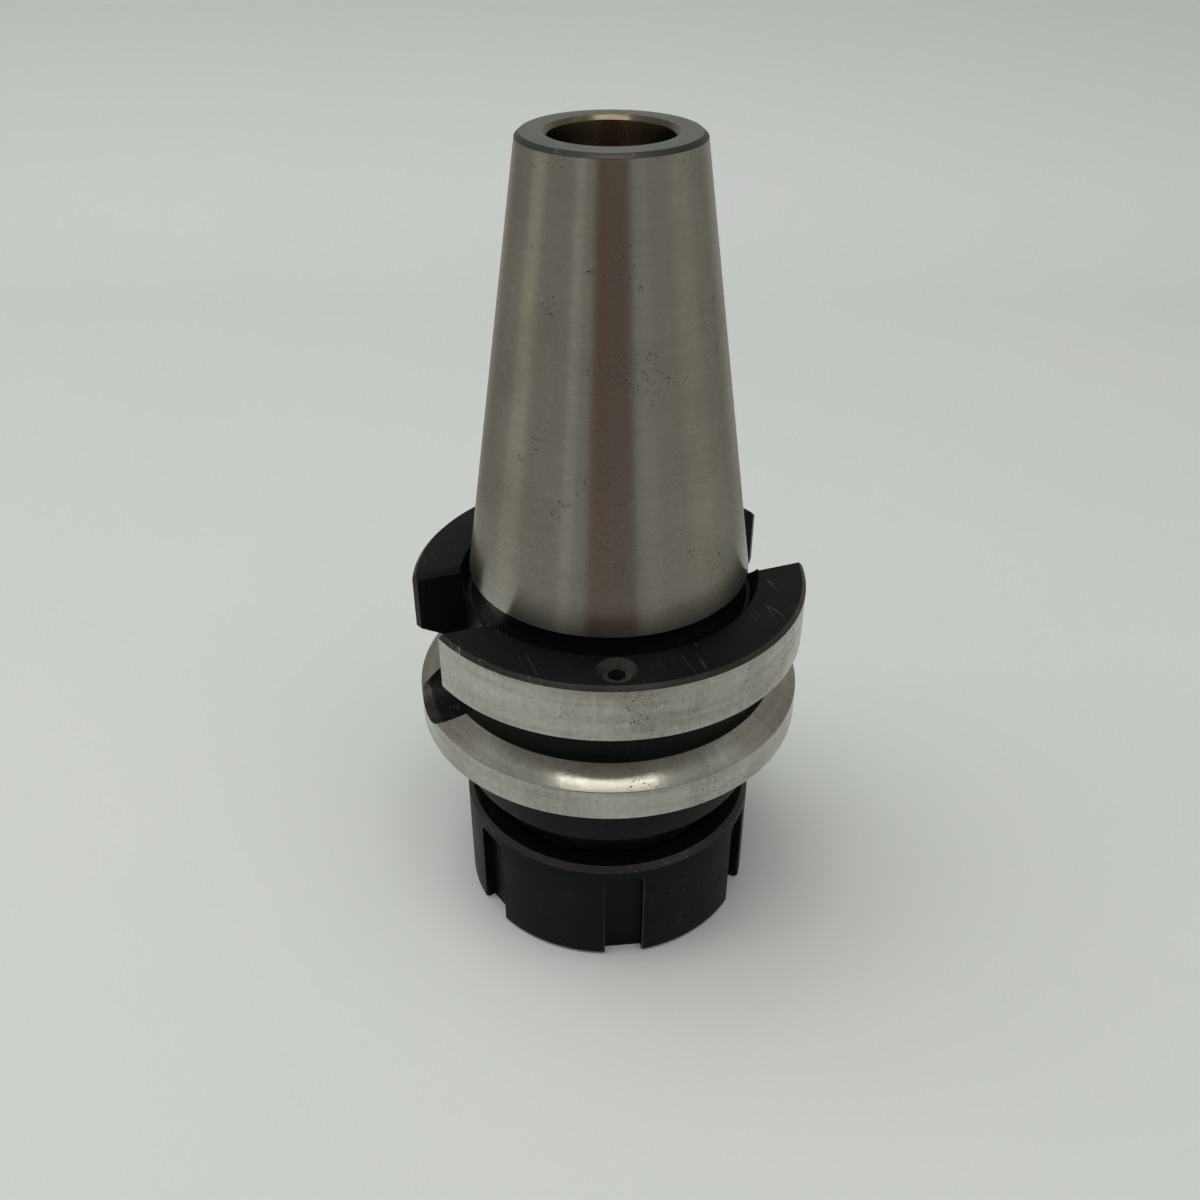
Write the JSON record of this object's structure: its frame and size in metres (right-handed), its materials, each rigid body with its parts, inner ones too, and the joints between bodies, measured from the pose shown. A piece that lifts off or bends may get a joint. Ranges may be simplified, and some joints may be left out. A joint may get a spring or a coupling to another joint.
{
  "type": "collet chuck holder",
  "caption": "Steep-taper tool holder with a grooved drive flange, a slit spring collet and a slotted clamping nut that closes it on a round shank.",
  "frame": {"origin": "centre of the clamping nut's front face, on the surface that the holder stands on", "axes": "+Z along the spindle axis, towards the small end of the taper; +X through one of the two drive slots"},
  "size_m": [0.063, 0.063, 0.1304],
  "materials": {
    "ground_steel": "hardened alloy steel: taper, flange rims and groove flanks ground bright, everything else black oxide",
    "black_oxide_steel": "black oxide, satin, lightly scratched",
    "spring_steel": "ground spring steel",
    "black_oxide_screw": "black oxide, worn bright at the thread"
  },
  "bodies": {
    "holder": {"holder_body": "ground_steel", "port_screw_front": "black_oxide_screw", "port_screw_rear": "black_oxide_screw"},
    "collet": {"spring_collet": "spring_steel"},
    "nut": {"clamping_nut": "black_oxide_steel"},
    "length_stop": {"stop_screw": "black_oxide_screw"}
  },
  "joints": [
    {"name": "collet_travel", "type": "slide", "parent": "holder", "child": "collet", "axis": [0, 0, -1], "range_m": [0, 0.0068]},
    {"name": "nut_turn", "type": "hinge", "parent": "collet", "child": "nut", "pos_m": [0, 0, 0], "axis": [0, 0, -1], "range_deg": [0, 1620]},
    {"name": "stop_adjust", "type": "slide", "parent": "holder", "child": "length_stop", "axis": [0, 0, 1], "range_m": [-0.005, 0.008]}
  ],
  "couplings": [
    {"joint": "collet_travel", "follows": "nut_turn", "m_per_rad": 0.00023873}
  ]
}
